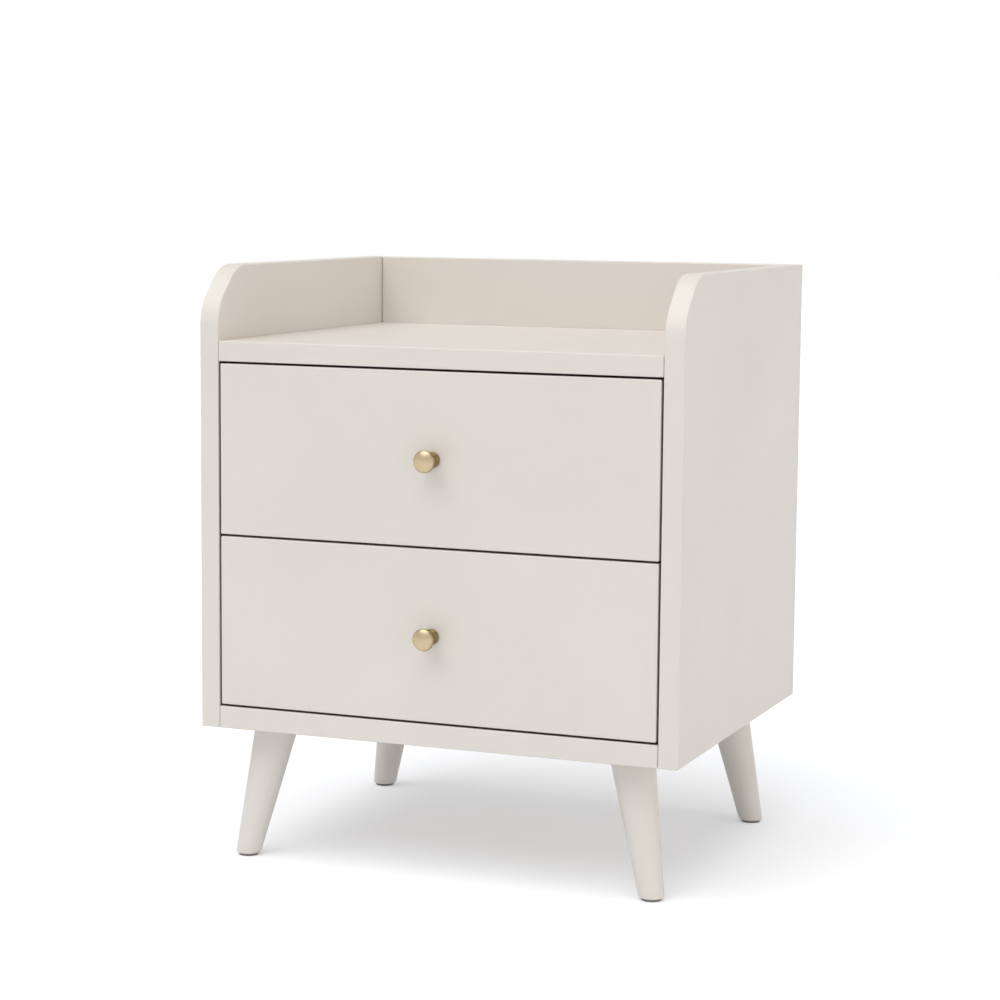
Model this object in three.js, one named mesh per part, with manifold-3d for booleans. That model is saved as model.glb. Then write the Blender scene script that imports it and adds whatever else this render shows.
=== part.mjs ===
// Bedside table with two drawers, a gallery rail and four splayed round legs.
// Millimetres, +Z up. The drawers pull out towards -Y, and +X is the right hand of someone facing them.
// The origin is on the floor, under the middle of the table's overall box with its knobs.

import * as THREE from 'three';
import { mergeVertices } from 'three/addons/utils/BufferGeometryUtils.js';
import Module from 'manifold-3d';

const wasm = await Module();
wasm.setup();

// ---------------------------------------------------------------- driving dimensions

// Fits between pieces
const seam = 0.3; // between two pieces that rest against each other
const holeFit = 0.3; // round a dowel, screw or bolt in its hole, and round a panel in its groove

// Carcass
const bodyWidth = 450;
const bodyDepth = 364;
const panelThickness = 18; // side panels
const topThickness = 18;
const bottomThickness = 20;
const galleryHeight = 66; // side panels and rail above the top board
const railThickness = 12;
const railRebate = 3; // the rail stands this far down in a rebate along the top board
const cornerCut = 37; // slope at the front top corner of a side panel
const cornerRound = 36; // radius where that slope meets the front edge and the top edge
const panelEase = 1.2; // rounding of a side panel's edges
const boardEase = 0.8; // rounding of the other boards' edges
const backThickness = 4;
const backInset = 10; // carcass rear edge to the back panel
const grooveDepth = 6;

// Legs
const legHeight = 122; // floor to the underside of the carcass
const legFromSide = 55; // leg centre at its top, from the carcass side
const legFromEnd = 43; // leg centre at its top, from the carcass front or rear
const legSplaySide = 24; // how far the foot stands outside the leg's top, sideways
const legSplayEnd = 13; // the same, forwards or backwards
const legTopRadius = 20;
const legFootRadius = 11.4;
const legFootRound = 2.5;
const boltRadius = 4;
const boltInLeg = 26;
const boltInBoard = 12;
const insertRadius = 6;
const insertLength = 13;
const glideRadius = 8.8;
const glideThickness = 1.6;
const glideRound = 0.6;
const glidePinRadius = 1.25;
const glidePinLength = 10;

// Drawers
const drawerNames = ['lower', 'upper'];
const drawerFrontHeight = 152;
const drawerFrontThickness = 18;
const drawerFrontEase = 1.2;
const reveal = 2; // open line round each drawer front
const boxWall = 12;
const boxAboveFrontEdge = 14; // lower edge of the box above the lower edge of the front
const boxBelowFrontTop = 23; // upper edge of the box below the upper edge of the front
const boxRearSpace = 26; // rear of the box to the back panel
const drawerBottomThickness = 4;
const drawerBottomAboveEdge = 10;

// Drawer slides, counted from the carcass side towards the drawer
const slideSpace = 13; // carcass side to the drawer box
const slideHeight = 45;
const slideSheet = 1.2;
const slideFrontMargin = 2; // rear face of the drawer front to the slide
const slideRearMargin = 4; // slide to the rear of the box
const slideWebGap = 0.4; // middle rail to the back of the rail on either side of it
const slideLipGap = 3.8; // lip of an outer rail to the outer face of the opposite rail
const slideTrackGap = 2.4; // between one rail's flange and the next, where the balls run

// Knobs
const knobProjection = 23;
const knobHeadRadius = 9.8;
const knobHeadThickness = 5;
const knobDome = 2.4; // rise of the head's front face, and the roundness of its rim
const knobNeckRadius = 4.2;
const knobBaseRadius = 6.9;
const knobBaseThickness = 1.8;
const knobScrewRadius = 2;
const knobScrewInKnob = 10;
const knobScrewHeadRadius = 4;
const knobScrewCrownRadius = 2.8; // flat crown of the screw head
const knobScrewHeadHeight = 2.4;

// Dowels
const dowelRadius = 4;
const dowelLength = 30;
const dowelInPanel = 10;
const dowelFromFront = 60;
const dowelFromRear = 60;
const railDowelRadius = 3;
const dowelChamfer = 1;

// Smoothness
const easeSegments = 2;
const cornerSegments = 6;
const holeSegments = 16;
const dowelSegments = 12;
const legSegments = 28;
const knobSegments = 24;
const curveSegments = 3;
const cutOvershoot = 1; // how far a cutter stands out of the face it enters
const mergeDistance = 1e-4;

// ---------------------------------------------------------------- sizes that follow

const innerWidth = bodyWidth - 2 * panelThickness;
const drawerPitch = drawerFrontHeight + reveal;
const openingHeight = reveal + drawerNames.length * drawerPitch;
const bottomTop = legHeight + bottomThickness;
const topBottom = bottomTop + openingHeight;
const topTop = topBottom + topThickness;
const bodyTop = topTop + galleryHeight;
const frontY = (knobProjection + seam - bodyDepth) / 2;
const rearY = frontY + bodyDepth;
const middleY = (frontY + rearY) / 2;
const backY = rearY - backInset - backThickness / 2;

// ---------------------------------------------------------------- finishes

const finishes = {
  lacquer: new THREE.MeshStandardMaterial({ color: '#dcd6ce', roughness: 0.45, metalness: 0 }),
  hardboard: new THREE.MeshStandardMaterial({ color: '#d6d0c8', roughness: 0.6, metalness: 0 }),
  plywood: new THREE.MeshStandardMaterial({ color: '#d9bf94', roughness: 0.55, metalness: 0 }),
  beech: new THREE.MeshStandardMaterial({ color: '#c99f6b', roughness: 0.7, metalness: 0 }),
  brass: new THREE.MeshStandardMaterial({ color: '#c7a163', roughness: 0.32, metalness: 1 }),
  zinc: new THREE.MeshStandardMaterial({ color: '#b9bcbf', roughness: 0.35, metalness: 1 }),
  nylon: new THREE.MeshStandardMaterial({ color: '#3a3632', roughness: 0.7, metalness: 0 }),
};

// ---------------------------------------------------------------- shaping helpers

const towards = {
  x: new THREE.Vector3(1, 0, 0),
  y: new THREE.Vector3(0, 1, 0),
  z: new THREE.Vector3(0, 0, 1),
};

// An outline drawn in u and v, turned so that its thickness lies along one axis.
const faces = {
  x: new THREE.Matrix4().makeBasis(towards.y, towards.z, towards.x),
  y: new THREE.Matrix4().makeBasis(towards.x, towards.z, towards.y.clone().negate()),
  z: new THREE.Matrix4(),
};

function toSolid(geometry) {
  const bare = geometry.clone();
  bare.deleteAttribute('normal');
  bare.deleteAttribute('uv');
  const merged = mergeVertices(bare, mergeDistance);
  const corners = merged.index.array;
  const triangles = [];
  for (let i = 0; i < corners.length; i += 3) {
    const triangle = [corners[i], corners[i + 1], corners[i + 2]];
    if (new Set(triangle).size === 3) {
      triangles.push(...triangle);
    }
  }
  return new wasm.Manifold(
    new wasm.Mesh({
      numProp: 3,
      vertProperties: new Float32Array(merged.attributes.position.array),
      triVerts: new Uint32Array(triangles),
    }),
  );
}

function toGeometry(solid) {
  const mesh = solid.getMesh();
  const geometry = new THREE.BufferGeometry();
  geometry.setAttribute('position', new THREE.BufferAttribute(mesh.vertProperties, 3));
  geometry.setIndex(new THREE.BufferAttribute(mesh.triVerts, 1));
  geometry.computeVertexNormals();
  return geometry;
}

function cutFrom(geometry, cutters) {
  let solid = toSolid(geometry);
  for (const cutter of cutters) {
    solid = solid.subtract(toSolid(cutter));
  }
  return toGeometry(solid);
}

function rectangle(width, height) {
  const outline = new THREE.Shape();
  outline.moveTo(-width / 2, -height / 2);
  outline.lineTo(width / 2, -height / 2);
  outline.lineTo(width / 2, height / 2);
  outline.lineTo(-width / 2, height / 2);
  outline.closePath();
  return outline;
}

// A sheet of the given outline, its two faces eased, centred on the axis it is thick along.
function sheet(outline, thickness, ease, axis) {
  const geometry = new THREE.ExtrudeGeometry(outline, {
    depth: thickness - 2 * ease,
    curveSegments: cornerSegments,
    bevelEnabled: ease > 0,
    bevelThickness: ease,
    bevelSize: ease,
    bevelOffset: -ease,
    bevelSegments: easeSegments,
  });
  geometry.translate(0, 0, ease - thickness / 2);
  geometry.applyMatrix4(faces[axis]);
  return geometry;
}

function block(sizeX, sizeY, sizeZ, x, y, z) {
  const geometry = new THREE.BoxGeometry(sizeX, sizeY, sizeZ);
  geometry.translate(x, y, z);
  return geometry;
}

function bore(radius, length, axis, x, y, z) {
  const geometry = new THREE.CylinderGeometry(radius, radius, length, holeSegments);
  geometry.applyQuaternion(new THREE.Quaternion().setFromUnitVectors(towards.y, towards[axis]));
  geometry.translate(x, y, z);
  return geometry;
}

// A turned piece: its profile is radius against height, with the height laid along a direction.
function turned(profile, segments, direction) {
  const geometry = new THREE.LatheGeometry(profile, segments);
  geometry.applyQuaternion(new THREE.Quaternion().setFromUnitVectors(towards.y, direction));
  return geometry;
}

function place(parent, name, geometry, finish, x, y, z) {
  const mesh = new THREE.Mesh(geometry, finishes[finish]);
  mesh.name = name;
  mesh.position.set(x, y, z);
  parent.add(mesh);
}

// ---------------------------------------------------------------- carcass joinery

const sides = [
  { name: 'left', sign: -1 },
  { name: 'right', sign: 1 },
];

const dowelFrontY = frontY + dowelFromFront;
const dowelRearY = rearY - dowelFromRear;
const topMiddle = (topBottom + topTop) / 2;
const bottomMiddle = (legHeight + bottomTop) / 2;
const railMiddle = (topTop - railRebate + seam + bodyTop) / 2;

const dowels = [
  { name: 'top_board_front', y: dowelFrontY, z: topMiddle, radius: dowelRadius },
  { name: 'top_board_rear', y: dowelRearY, z: topMiddle, radius: dowelRadius },
  { name: 'bottom_board_front', y: dowelFrontY, z: bottomMiddle, radius: dowelRadius },
  { name: 'bottom_board_rear', y: dowelRearY, z: bottomMiddle, radius: dowelRadius },
  { name: 'gallery_rail', y: rearY - railThickness / 2, z: railMiddle, radius: railDowelRadius },
];

// One hole round a dowel goes into the side panel and the board together, so it cuts either piece.
function dowelHoles(names, centreX, centreY, centreZ) {
  const cutters = [];
  for (const side of sides) {
    for (const dowel of dowels.filter((each) => names.includes(each.name))) {
      const x = side.sign * (innerWidth / 2 + dowelInPanel - dowelLength / 2);
      const length = dowelLength + 2 * holeFit;
      const hole = bore(dowel.radius + holeFit, length, 'x', x, dowel.y, dowel.z);
      hole.translate(-centreX, -centreY, -centreZ);
      cutters.push(hole);
    }
  }
  return cutters;
}

// The back panel's groove runs into both side panels and both boards, so one cutter serves all four.
const backWidth = innerWidth + 2 * (grooveDepth - holeFit);
const backHeight = openingHeight + 2 * (grooveDepth - holeFit);
const backMiddle = (bottomTop + topBottom) / 2;

function backGroove(centreX, centreY, centreZ) {
  return block(
    backWidth + 2 * holeFit,
    backThickness + 2 * holeFit,
    backHeight + 2 * holeFit,
    -centreX,
    backY - centreY,
    backMiddle - centreZ,
  );
}

// ---------------------------------------------------------------- carcass

// The side of the carcass from front to back and from its underside to the top of the gallery. The
// front top corner is a straight 45 degree slope, rounded into the front edge and the top edge.
function sidePanelOutline() {
  const height = bodyTop - legHeight;
  const slopeAngle = Math.PI / 4;
  const tangent = cornerRound * Math.tan(slopeAngle / 2);
  const outline = new THREE.Shape();
  outline.moveTo(bodyDepth, 0);
  outline.lineTo(bodyDepth, height);
  outline.lineTo(cornerCut + tangent, height);
  outline.absarc(
    cornerCut + tangent,
    height - cornerRound,
    cornerRound,
    Math.PI / 2,
    Math.PI / 2 + slopeAngle,
    false,
  );
  outline.absarc(
    cornerRound,
    height - cornerCut - tangent,
    cornerRound,
    Math.PI / 2 + slopeAngle,
    Math.PI,
    false,
  );
  outline.lineTo(0, 0);
  outline.closePath();
  return outline;
}

function sidePanel(side, x) {
  const panel = sheet(sidePanelOutline(), panelThickness, panelEase, 'x');
  const allDowels = dowels.map((dowel) => dowel.name);
  return cutFrom(panel, [
    backGroove(x, frontY, legHeight),
    ...dowelHoles(allDowels, x, frontY, legHeight),
  ]);
}

const legPlaces = [];
for (const side of sides) {
  legPlaces.push({
    name: `front_${side.name}`,
    x: side.sign * (bodyWidth / 2 - legFromSide),
    y: frontY + legFromEnd,
    splayX: side.sign * legSplaySide,
    splayY: -legSplayEnd,
  });
  legPlaces.push({
    name: `rear_${side.name}`,
    x: side.sign * (bodyWidth / 2 - legFromSide),
    y: rearY - legFromEnd,
    splayX: side.sign * legSplaySide,
    splayY: legSplayEnd,
  });
}

function bottomBoard() {
  const board = sheet(rectangle(innerWidth - 2 * seam, bottomThickness), bodyDepth, boardEase, 'y');
  const insertHoles = legPlaces.map((leg) =>
    bore(
      insertRadius + holeFit,
      insertLength + 2 * seam + cutOvershoot,
      'z',
      leg.x,
      leg.y - middleY,
      (insertLength + 2 * seam - cutOvershoot - bottomThickness) / 2,
    ),
  );
  return cutFrom(board, [
    backGroove(0, middleY, bottomMiddle),
    ...dowelHoles(['bottom_board_front', 'bottom_board_rear'], 0, middleY, bottomMiddle),
    ...insertHoles,
  ]);
}

function topBoard() {
  const board = sheet(rectangle(innerWidth - 2 * seam, topThickness), bodyDepth, boardEase, 'y');
  const rebate = block(
    innerWidth + 2 * cutOvershoot,
    railThickness + seam + cutOvershoot,
    railRebate + cutOvershoot,
    0,
    (bodyDepth - railThickness - seam + cutOvershoot) / 2,
    (topThickness - railRebate + cutOvershoot) / 2,
  );
  return cutFrom(board, [
    rebate,
    backGroove(0, middleY, topMiddle),
    ...dowelHoles(['top_board_front', 'top_board_rear'], 0, middleY, topMiddle),
  ]);
}

function galleryRail(y, z) {
  const outline = rectangle(innerWidth - 2 * seam, galleryHeight + railRebate - seam);
  const rail = sheet(outline, railThickness, panelEase, 'y');
  return cutFrom(rail, dowelHoles(['gallery_rail'], 0, y, z));
}

function dowelPin(radius) {
  const half = dowelLength / 2;
  const profile = [
    new THREE.Vector2(0, -half),
    new THREE.Vector2(radius - dowelChamfer, -half),
    new THREE.Vector2(radius, dowelChamfer - half),
    new THREE.Vector2(radius, half - dowelChamfer),
    new THREE.Vector2(radius - dowelChamfer, half),
    new THREE.Vector2(0, half),
  ];
  return turned(profile, dowelSegments, towards.x);
}

function addCarcass(parent) {
  for (const side of sides) {
    const x = (side.sign * (innerWidth + panelThickness)) / 2;
    place(parent, `${side.name}_side_panel`, sidePanel(side, x), 'lacquer', x, frontY, legHeight);
  }
  place(parent, 'bottom_board', bottomBoard(), 'lacquer', 0, middleY, bottomMiddle);
  place(parent, 'top_board', topBoard(), 'lacquer', 0, middleY, topMiddle);

  const railY = rearY - railThickness / 2;
  place(parent, 'gallery_rail', galleryRail(railY, railMiddle), 'lacquer', 0, railY, railMiddle);

  const back = sheet(rectangle(backWidth, backHeight), backThickness, 0, 'y');
  place(parent, 'back_panel', back, 'hardboard', 0, backY, backMiddle);

  for (const side of sides) {
    for (const dowel of dowels) {
      const x = side.sign * (innerWidth / 2 + dowelInPanel - dowelLength / 2);
      const name = `${dowel.name}_${side.name}_dowel`;
      place(parent, name, dowelPin(dowel.radius), 'beech', x, dowel.y, dowel.z);
    }
  }
}

// ---------------------------------------------------------------- legs

// Each leg is a straight taper that leans outwards. Its top and its foot are cut level, so it is
// shaped upright and then sheared over. The bolt in its top and the pin in its foot stay upright.
const legFootZ = glideThickness + seam;

function footOffset(leg, z) {
  const share = 1 - z / legHeight;
  return { x: leg.splayX * share, y: leg.splayY * share };
}

function legTaper(leg) {
  const top = legHeight - seam;
  const corner = new THREE.Path();
  corner.moveTo(0, legFootZ);
  corner.lineTo(legFootRadius - legFootRound, legFootZ);
  corner.quadraticCurveTo(legFootRadius, legFootZ, legFootRadius, legFootZ + legFootRound);
  corner.lineTo(legTopRadius, top);
  corner.lineTo(0, top);
  const geometry = turned(corner.getPoints(easeSegments), legSegments, towards.z);
  const lean = new THREE.Vector3(-leg.splayX / legHeight, -leg.splayY / legHeight, 1);
  geometry.applyMatrix4(new THREE.Matrix4().makeBasis(towards.x, towards.y, lean));
  geometry.translate(leg.splayX, leg.splayY, 0);

  const foot = footOffset(leg, legFootZ);
  const boltHole = bore(
    boltRadius + holeFit,
    boltInLeg + holeFit + cutOvershoot,
    'z',
    0,
    0,
    top + (cutOvershoot - boltInLeg - holeFit) / 2,
  );
  const pinHole = bore(
    glidePinRadius + holeFit,
    glidePinLength + holeFit + cutOvershoot,
    'z',
    foot.x,
    foot.y,
    legFootZ + (glidePinLength + holeFit - cutOvershoot) / 2,
  );
  return cutFrom(geometry, [boltHole, pinHole]);
}

function rod(radius, length) {
  const profile = [
    new THREE.Vector2(0, 0),
    new THREE.Vector2(radius, 0),
    new THREE.Vector2(radius, length),
    new THREE.Vector2(0, length),
  ];
  return turned(profile, holeSegments, towards.z);
}

function threadedInsert() {
  const inner = boltRadius + holeFit;
  const profile = [
    new THREE.Vector2(inner, 0),
    new THREE.Vector2(insertRadius, 0),
    new THREE.Vector2(insertRadius, insertLength),
    new THREE.Vector2(inner, insertLength),
    new THREE.Vector2(inner, 0),
  ];
  return turned(profile, holeSegments, towards.z);
}

function footGlide() {
  const profile = [
    new THREE.Vector2(0, 0),
    new THREE.Vector2(glideRadius - glideRound, 0),
    new THREE.Vector2(glideRadius, glideRound),
    new THREE.Vector2(glideRadius, glideThickness),
    new THREE.Vector2(glidePinRadius, glideThickness),
    new THREE.Vector2(glidePinRadius, glideThickness + glidePinLength),
    new THREE.Vector2(0, glideThickness + glidePinLength),
  ];
  return turned(profile, holeSegments, towards.z);
}

function addLegs(parent) {
  for (const leg of legPlaces) {
    const corner = new THREE.Group();
    corner.position.set(leg.x, leg.y, 0);
    const foot = footOffset(leg, legFootZ);
    const bolt = rod(boltRadius, boltInLeg + boltInBoard);
    place(corner, `${leg.name}_leg`, legTaper(leg), 'lacquer', 0, 0, 0);
    place(corner, `${leg.name}_leg_bolt`, bolt, 'zinc', 0, 0, legHeight - boltInLeg);
    place(corner, `${leg.name}_leg_insert`, threadedInsert(), 'zinc', 0, 0, legHeight + seam);
    place(corner, `${leg.name}_foot_glide`, footGlide(), 'nylon', foot.x, foot.y, 0);
    parent.add(corner);
  }
}

// ---------------------------------------------------------------- drawer slides

// Three rails run in one another on each side of a drawer: one screwed to the carcass, one to the
// drawer box, and one between them that travels half as far. Each is a channel on its back.
const boxLength = bodyDepth - backInset - backThickness - boxRearSpace - drawerFrontThickness - seam;
const boxWidth = innerWidth - 2 * slideSpace;
const boxHeight = drawerFrontHeight - boxAboveFrontEdge - boxBelowFrontTop;
const slideStart = drawerFrontThickness + slideFrontMargin;
const slideLength = drawerFrontThickness + seam + boxLength - slideRearMargin - slideStart;
const slideMiddleY = slideStart + slideLength / 2;
const slideMiddleZ = boxAboveFrontEdge + boxHeight / 2;

const slideThickness = slideSpace - 2 * seam;
const outerRailFlange = slideThickness - slideLipGap;
const middleRailFlange = slideThickness - 2 * (slideSheet + slideWebGap);
const middleRailHeight = slideHeight - 2 * (slideSheet + slideTrackGap);
const drawerRailHeight = middleRailHeight - 2 * (slideSheet + slideTrackGap);

// A channel's web stands at u = 0 and its two flanges run to u = flange, or to -flange when turned.
function channel(height, flange, turn) {
  const outline = new THREE.Shape();
  const outer = height / 2;
  const inner = outer - slideSheet;
  outline.moveTo(0, -outer);
  outline.lineTo(turn * flange, -outer);
  outline.lineTo(turn * flange, -inner);
  outline.lineTo(turn * slideSheet, -inner);
  outline.lineTo(turn * slideSheet, inner);
  outline.lineTo(turn * flange, inner);
  outline.lineTo(turn * flange, outer);
  outline.lineTo(0, outer);
  outline.closePath();
  return sheet(outline, slideLength, 0, 'y');
}

function addSlides(parent, drawerName) {
  for (const side of sides) {
    const inwards = -side.sign;
    const panelX = side.sign * (innerWidth / 2 - seam);
    const middleX = panelX + inwards * (slideSheet + slideWebGap);
    const boxX = side.sign * (boxWidth / 2 + seam);
    const name = `${drawerName}_${side.name}`;
    const cabinetRail = channel(slideHeight, outerRailFlange, inwards);
    const middleRail = channel(middleRailHeight, middleRailFlange, inwards);
    const drawerRail = channel(drawerRailHeight, outerRailFlange, -inwards);
    place(parent, `${name}_cabinet_rail`, cabinetRail, 'zinc', panelX, slideMiddleY, slideMiddleZ);
    place(parent, `${name}_middle_rail`, middleRail, 'zinc', middleX, slideMiddleY, slideMiddleZ);
    place(parent, `${name}_drawer_rail`, drawerRail, 'zinc', boxX, slideMiddleY, slideMiddleZ);
  }
}

// ---------------------------------------------------------------- drawers

// Everything in a drawer is placed from the lower edge of its front: y = 0 is the front's outer face.
const boxStart = drawerFrontThickness + seam;
const boxMiddleY = boxStart + boxLength / 2;
const boxMiddleZ = boxAboveFrontEdge + boxHeight / 2;
const boxInnerWidth = boxWidth - 2 * boxWall;
const boxInnerLength = boxLength - 2 * boxWall;
const bottomWidth = boxInnerWidth + 2 * (grooveDepth - holeFit);
const bottomLength = boxInnerLength + 2 * (grooveDepth - holeFit);
const bottomZ = boxAboveFrontEdge + drawerBottomAboveEdge + drawerBottomThickness / 2;
const knobZ = drawerFrontHeight / 2;

// The drawer bottom's groove runs round the inside of the box, so one cutter serves all four walls.
function bottomGroove(x, y) {
  return block(
    bottomWidth + 2 * holeFit,
    bottomLength + 2 * holeFit,
    drawerBottomThickness + 2 * holeFit,
    -x,
    boxMiddleY - y,
    bottomZ - boxMiddleZ,
  );
}

function boxSide(x) {
  const wall = sheet(rectangle(boxLength, boxHeight), boxWall, boardEase, 'x');
  return cutFrom(wall, [bottomGroove(x, boxMiddleY)]);
}

function boxEnd(y, extraCutters) {
  const outline = rectangle(boxInnerWidth - 2 * seam, boxHeight);
  const wall = sheet(outline, boxWall, boardEase, 'y');
  return cutFrom(wall, [bottomGroove(0, y), ...extraCutters]);
}

function drawerFront() {
  const outline = rectangle(innerWidth - 2 * reveal, drawerFrontHeight);
  const board = sheet(outline, drawerFrontThickness, drawerFrontEase, 'y');
  const length = drawerFrontThickness + 2 * cutOvershoot;
  return cutFrom(board, [bore(knobScrewRadius + holeFit, length, 'y', 0, 0, 0)]);
}

// A round rosette, a waisted neck and a slightly domed head, with a blind hole for its screw.
function knob() {
  const headBack = knobProjection - knobDome - knobHeadThickness;
  const holeRadius = knobScrewRadius + holeFit;
  const holeDepth = knobScrewInKnob + 2 * holeFit;
  const waist = (knobBaseThickness + headBack) / 2;
  const profile = new THREE.Path();
  profile.moveTo(0, holeDepth);
  profile.lineTo(holeRadius, holeDepth);
  profile.lineTo(holeRadius, 0);
  profile.lineTo(knobBaseRadius, 0);
  profile.lineTo(knobBaseRadius, knobBaseThickness);
  profile.quadraticCurveTo(knobNeckRadius, knobBaseThickness, knobNeckRadius, waist);
  profile.quadraticCurveTo(knobNeckRadius, headBack, knobHeadRadius, headBack + knobDome);
  profile.lineTo(knobHeadRadius, knobProjection - 2 * knobDome);
  profile.quadraticCurveTo(
    knobHeadRadius,
    knobProjection - knobDome,
    knobHeadRadius - knobDome,
    knobProjection - knobDome / 2,
  );
  profile.quadraticCurveTo(knobHeadRadius / 2, knobProjection, 0, knobProjection);
  return turned(profile.getPoints(curveSegments), knobSegments, towards.y.clone().negate());
}

// A pan-head machine screw, its head inside the drawer and its end in the knob.
function knobScrew() {
  const shank = boxWall + seam + drawerFrontThickness + seam + knobScrewInKnob;
  const profile = [
    new THREE.Vector2(0, -knobScrewHeadHeight),
    new THREE.Vector2(knobScrewCrownRadius, -knobScrewHeadHeight),
    new THREE.Vector2(knobScrewHeadRadius, -knobScrewHeadHeight / 2),
    new THREE.Vector2(knobScrewHeadRadius, 0),
    new THREE.Vector2(knobScrewRadius, 0),
    new THREE.Vector2(knobScrewRadius, shank),
    new THREE.Vector2(0, shank),
  ];
  return turned(profile, holeSegments, towards.y.clone().negate());
}

function addDrawer(parent, drawerName) {
  const drawer = `${drawerName}_drawer`;
  const frontMiddle = drawerFrontThickness / 2;
  place(parent, `${drawer}_front`, drawerFront(), 'lacquer', 0, frontMiddle, knobZ);

  for (const side of sides) {
    const x = (side.sign * (boxWidth - boxWall)) / 2;
    place(parent, `${drawer}_${side.name}_side`, boxSide(x), 'plywood', x, boxMiddleY, boxMiddleZ);
  }
  const boxFrontY = boxStart + boxWall / 2;
  const screwHole = bore(
    knobScrewRadius + holeFit,
    boxWall + 2 * cutOvershoot,
    'y',
    0,
    0,
    knobZ - boxMiddleZ,
  );
  const boxFront = boxEnd(boxFrontY, [screwHole]);
  place(parent, `${drawer}_box_front`, boxFront, 'plywood', 0, boxFrontY, boxMiddleZ);
  const boxBackY = boxStart + boxLength - boxWall / 2;
  place(parent, `${drawer}_box_back`, boxEnd(boxBackY, []), 'plywood', 0, boxBackY, boxMiddleZ);
  const bottom = sheet(rectangle(bottomWidth, bottomLength), drawerBottomThickness, 0, 'z');
  place(parent, `${drawer}_bottom`, bottom, 'hardboard', 0, boxMiddleY, bottomZ);

  place(parent, `${drawerName}_knob`, knob(), 'brass', 0, -seam, knobZ);
  const screwY = boxStart + boxWall + seam;
  place(parent, `${drawerName}_knob_screw`, knobScrew(), 'zinc', 0, screwY, knobZ);
}

// ---------------------------------------------------------------- assembly

const nightstand = new THREE.Group();
addCarcass(nightstand);
addLegs(nightstand);

drawerNames.forEach((drawerName, row) => {
  const bay = new THREE.Group();
  bay.position.set(0, frontY, bottomTop + reveal + row * drawerPitch);
  addSlides(bay, drawerName);
  addDrawer(bay, drawerName);
  nightstand.add(bay);
});

export default nightstand;
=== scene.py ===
import math

import bmesh
import bpy
from mathutils import Matrix, Vector


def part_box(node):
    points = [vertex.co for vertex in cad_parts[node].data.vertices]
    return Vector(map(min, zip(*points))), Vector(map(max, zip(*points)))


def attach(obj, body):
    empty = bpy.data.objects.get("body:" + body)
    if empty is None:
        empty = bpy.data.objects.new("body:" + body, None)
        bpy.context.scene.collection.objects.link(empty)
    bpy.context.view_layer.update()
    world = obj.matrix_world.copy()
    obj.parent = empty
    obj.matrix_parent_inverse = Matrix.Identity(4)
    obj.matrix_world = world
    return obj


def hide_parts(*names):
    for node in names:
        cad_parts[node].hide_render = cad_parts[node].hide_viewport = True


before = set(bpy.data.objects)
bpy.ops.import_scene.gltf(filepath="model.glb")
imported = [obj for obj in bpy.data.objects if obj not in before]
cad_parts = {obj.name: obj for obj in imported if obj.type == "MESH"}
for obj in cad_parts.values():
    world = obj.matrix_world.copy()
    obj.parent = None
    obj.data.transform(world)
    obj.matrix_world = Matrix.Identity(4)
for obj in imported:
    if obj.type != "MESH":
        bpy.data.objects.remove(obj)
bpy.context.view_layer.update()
mm = 0.001


# ---------------------------------------------------------------- viewpoint
# The camera stands a little above the table top, turned to show the front and the right-hand side,
# about two and a half metres away with a long lens.

view_turn = math.radians(21.61)
view_tilt = math.radians(6.94)
view_roll = math.radians(0.49)
view_place = Vector((875.5, -2223.1, 611.2)) * mm

lens = bpy.data.cameras.new("viewpoint")
lens.sensor_width = 36
lens.lens = 94.02
lens.clip_start = 0.1
lens.clip_end = 50
camera = bpy.data.objects.new("viewpoint", lens)
camera.matrix_world = (
    Matrix.Translation(view_place)
    @ Matrix.Rotation(view_turn, 4, "Z")
    @ Matrix.Rotation(math.pi / 2 - view_tilt, 4, "X")
    @ Matrix.Rotation(view_roll, 4, "Z")
)
bpy.context.scene.collection.objects.link(camera)
bpy.context.scene.camera = camera
bpy.context.scene.view_settings.view_transform = "Standard"


# ---------------------------------------------------------------- studio
# A white room, brightest at eye level, with one broad soft light from high on the left and a weak, warm
# and low one from the right. The floor is plain and pale, clear when seen from below, and no part of
# the table.

room_at_eye_level = 0.70
room_overhead = 0.48
key_strength, key_spread, key_heading, key_height = 1.7, 60, -18, 66
fill_strength, fill_spread, fill_heading, fill_height = 0.5, 50, 85, 8
key_tone = (1, 1, 1)
fill_tone = (1, 0.93, 0.81)
floor_tone = (0.83, 0.842, 0.868, 1)
floor_lift = 0.245


def axes(tree, vector):
    """The three shares of a vector socket."""
    node = tree.nodes.new("ShaderNodeSeparateXYZ")
    tree.links.new(vector, node.inputs[0])
    return node.outputs


def switched(tree, switch, when_off, when_on, end):
    """Leads one of two shaders to a tree's end, as the kind of a ray or the side it meets says."""
    split = tree.nodes.new("ShaderNodeMixShader")
    for socket, source in zip(split.inputs, (switch, when_off, when_on)):
        tree.links.new(source, socket)
    tree.links.new(split.outputs[0], tree.nodes[end].inputs["Surface"])


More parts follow.
